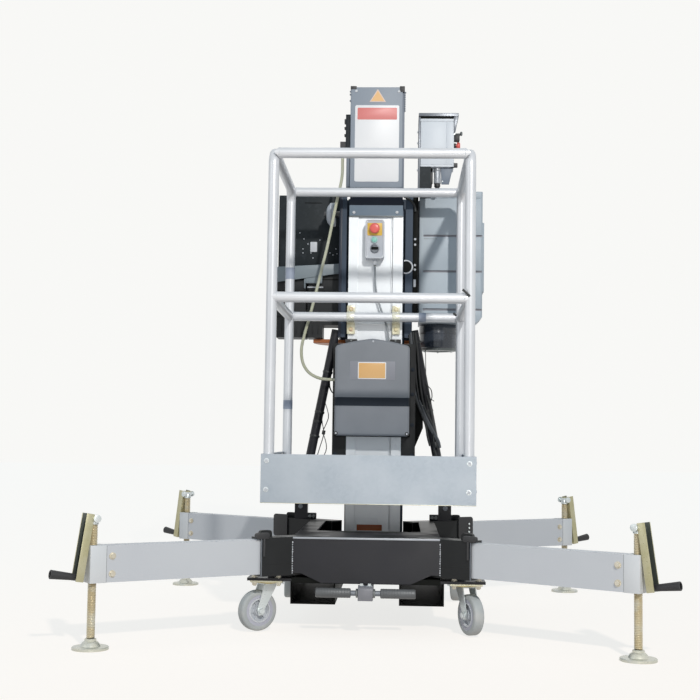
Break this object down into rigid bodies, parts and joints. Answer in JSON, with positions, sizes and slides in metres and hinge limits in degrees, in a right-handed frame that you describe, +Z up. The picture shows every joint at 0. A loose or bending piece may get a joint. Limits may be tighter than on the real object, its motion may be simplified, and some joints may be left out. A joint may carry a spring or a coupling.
{
  "type": "vertical mast lift",
  "caption": "Mobile vertical mast lift: guarded one-person basket on a telescopic aluminium mast, wheeled base with outriggers and screw jacks.",
  "frame": {"origin": "on the floor, midway between the four jack pads", "axes": "+Z up along the mast, +Y from the basket towards the mast, +X to the right seen from the basket's front"},
  "size_m": [1.6754, 1.6204, 1.879],
  "materials": {
    "black_gloss": "gloss black paint",
    "dark_mast": "dark anodised and painted profile",
    "dark_sheet": "dark grey satin paint",
    "silver_profile": "natural anodised extrusion",
    "basket_tube": "satin aluminium tube",
    "galvanised": "galvanised sheet",
    "cover_plastic": "dark grey textured plastic",
    "grey_plastic": "light grey plastic",
    "wheel_rubber": "grey non-marking rubber",
    "zinc": "bright zinc plate",
    "yellow_zinc": "yellow passivated zinc",
    "beam_paint": "silver grey paint",
    "drawbar_steel": "worn dark grey paint",
    "orange_paint": "orange paint",
    "conduit_plastic": "beige corrugated conduit",
    "cable_grey": "grey cable sheath"
  },
  "bodies": {
    "base": {"base_top_plate": "black_gloss", "base_front_panel": "black_gloss", "base_frame": "black_gloss", "outrigger_sockets": "black_gloss", "socket_locks": "black_gloss", "caster_brackets": "black_gloss", "caster_top_plates": "zinc", "fork_pockets": "black_gloss", "mast_foot": "black_gloss", "drawbar_guide": "drawbar_steel", "braces": "black_gloss", "power_cabinet": "grey_plastic", "motor": "black_gloss", "side_panel": "dark_sheet", "battery_unit": "black_gloss", "drip_dish": "orange_paint", "loading_axle": "black_gloss", "mast_outer": "dark_mast"},
    "carriage": {"carriage_profile": "silver_profile", "carriage_plates": "dark_mast", "carriage_cap": "dark_mast", "housing_spine": "dark_mast", "label_housing": "dark_sheet", "toe_boards": "galvanised", "platform_floor": "galvanised", "platform_bearers": "galvanised", "rail_clamps": "zinc", "cover_box": "cover_plastic", "pendant_box": "grey_plastic", "control_box": "grey_plastic", "control_stand": "galvanised", "conduit_gland": "cable_grey", "conduit": "conduit_plastic", "pendant_cord": "cable_grey", "basket_hoops": "basket_tube", "basket_rails": "basket_tube"},
    "drawbar": {"drawbar": "drawbar_steel"},
    "loading_wheel": {"loading_wheel": "wheel_rubber"},
    "mast_stage_1": {"mast_stage_1": "dark_mast"},
    "mast_stage_2": {"mast_stage_2": "dark_mast"},
    "mast_stage_3": {"mast_stage_3": "dark_mast"},
    "outrigger_fl": {"outrigger_beam_fl": "beam_paint"},
    "jack_fl": {"jack_fl": "yellow_zinc"},
    "caster_fl": {"caster_fork_fl": "zinc"},
    "wheel_fl": {"caster_wheel_fl": "wheel_rubber"},
    "outrigger_fr": {"outrigger_beam_fr": "beam_paint"},
    "jack_fr": {"jack_fr": "yellow_zinc"},
    "caster_fr": {"caster_fork_fr": "zinc"},
    "wheel_fr": {"caster_wheel_fr": "wheel_rubber"},
    "outrigger_rl": {"outrigger_beam_rl": "beam_paint"},
    "jack_rl": {"jack_rl": "yellow_zinc"},
    "caster_rl": {"caster_fork_rl": "zinc"},
    "wheel_rl": {"caster_wheel_rl": "wheel_rubber"},
    "outrigger_rr": {"outrigger_beam_rr": "beam_paint"},
    "jack_rr": {"jack_rr": "yellow_zinc"},
    "caster_rr": {"caster_fork_rr": "zinc"},
    "wheel_rr": {"caster_wheel_rr": "wheel_rubber"}
  },
  "joints": [
    {"name": "stage_1_slide", "type": "slide", "parent": "base", "child": "mast_stage_1", "axis": [0, 0, 1], "range_m": [0, 0.98]},
    {"name": "stage_2_slide", "type": "slide", "parent": "mast_stage_1", "child": "mast_stage_2", "axis": [0, 0, 1], "range_m": [0, 0.98]},
    {"name": "stage_3_slide", "type": "slide", "parent": "mast_stage_2", "child": "mast_stage_3", "axis": [0, 0, 1], "range_m": [0, 0.98]},
    {"name": "carriage_slide", "type": "slide", "parent": "mast_stage_3", "child": "carriage", "axis": [0, 0, 1], "range_m": [0, 0.98]},
    {"name": "drawbar_slide", "type": "slide", "parent": "base", "child": "drawbar", "axis": [0, -1, 0], "range_m": [0, 0.25]},
    {"name": "loading_wheel_turn", "type": "hinge", "parent": "base", "child": "loading_wheel", "pos_m": [-0.1735, 0.497, 1.42], "axis": [1, 0, 0], "continuous": true},
    {"name": "outrigger_fl_slide", "type": "slide", "parent": "base", "child": "outrigger_fl", "axis": [0.829, 0.5592, 0], "range_m": [0, 0.12]},
    {"name": "jack_fl_slide", "type": "slide", "parent": "outrigger_fl", "child": "jack_fl", "axis": [0, 0, 1], "range_m": [0, 0.12]},
    {"name": "caster_fl_swivel", "type": "hinge", "parent": "base", "child": "caster_fl", "pos_m": [-0.297, -0.356, 0.14], "axis": [0, 0, 1], "continuous": true},
    {"name": "wheel_fl_turn", "type": "hinge", "parent": "caster_fl", "child": "wheel_fl", "pos_m": [-0.32495, -0.37706, 0.063], "axis": [0.6018, -0.7986, 0], "continuous": true},
    {"name": "outrigger_fr_slide", "type": "slide", "parent": "base", "child": "outrigger_fr", "axis": [-0.829, 0.5592, 0], "range_m": [0, 0.12]},
    {"name": "jack_fr_slide", "type": "slide", "parent": "outrigger_fr", "child": "jack_fr", "axis": [0, 0, 1], "range_m": [0, 0.12]},
    {"name": "caster_fr_swivel", "type": "hinge", "parent": "base", "child": "caster_fr", "pos_m": [0.297, -0.356, 0.14], "axis": [0, 0, 1], "continuous": true},
    {"name": "wheel_fr_turn", "type": "hinge", "parent": "caster_fr", "child": "wheel_fr", "pos_m": [0.31124, -0.38797, 0.063], "axis": [0.9135, 0.4067, 0], "continuous": true},
    {"name": "outrigger_rl_slide", "type": "slide", "parent": "base", "child": "outrigger_rl", "axis": [0.829, -0.5592, 0], "range_m": [0, 0.12]},
    {"name": "jack_rl_slide", "type": "slide", "parent": "outrigger_rl", "child": "jack_rl", "axis": [0, 0, 1], "range_m": [0, 0.12]},
    {"name": "caster_rl_swivel", "type": "hinge", "parent": "base", "child": "caster_rl", "pos_m": [-0.297, 0.356, 0.14], "axis": [0, 0, 1], "continuous": true},
    {"name": "wheel_rl_turn", "type": "hinge", "parent": "caster_rl", "child": "wheel_rl", "pos_m": [-0.30005, 0.39087, 0.063], "axis": [-0.9962, -0.0872, 0], "continuous": true},
    {"name": "outrigger_rr_slide", "type": "slide", "parent": "base", "child": "outrigger_rr", "axis": [-0.829, -0.5592, 0], "range_m": [0, 0.12]},
    {"name": "jack_rr_slide", "type": "slide", "parent": "outrigger_rr", "child": "jack_rr", "axis": [0, 0, 1], "range_m": [0, 0.12]},
    {"name": "caster_rr_swivel", "type": "hinge", "parent": "base", "child": "caster_rr", "pos_m": [0.297, 0.356, 0.14], "axis": [0, 0, 1], "continuous": true},
    {"name": "wheel_rr_turn", "type": "hinge", "parent": "caster_rr", "child": "wheel_rr", "pos_m": [0.30308, 0.39047, 0.063], "axis": [-0.9848, 0.1736, 0], "continuous": true}
  ],
  "couplings": [
    {"joint": "stage_2_slide", "follows": "stage_1_slide", "ratio": 1},
    {"joint": "stage_3_slide", "follows": "stage_1_slide", "ratio": 1},
    {"joint": "carriage_slide", "follows": "stage_1_slide", "ratio": 1}
  ]
}
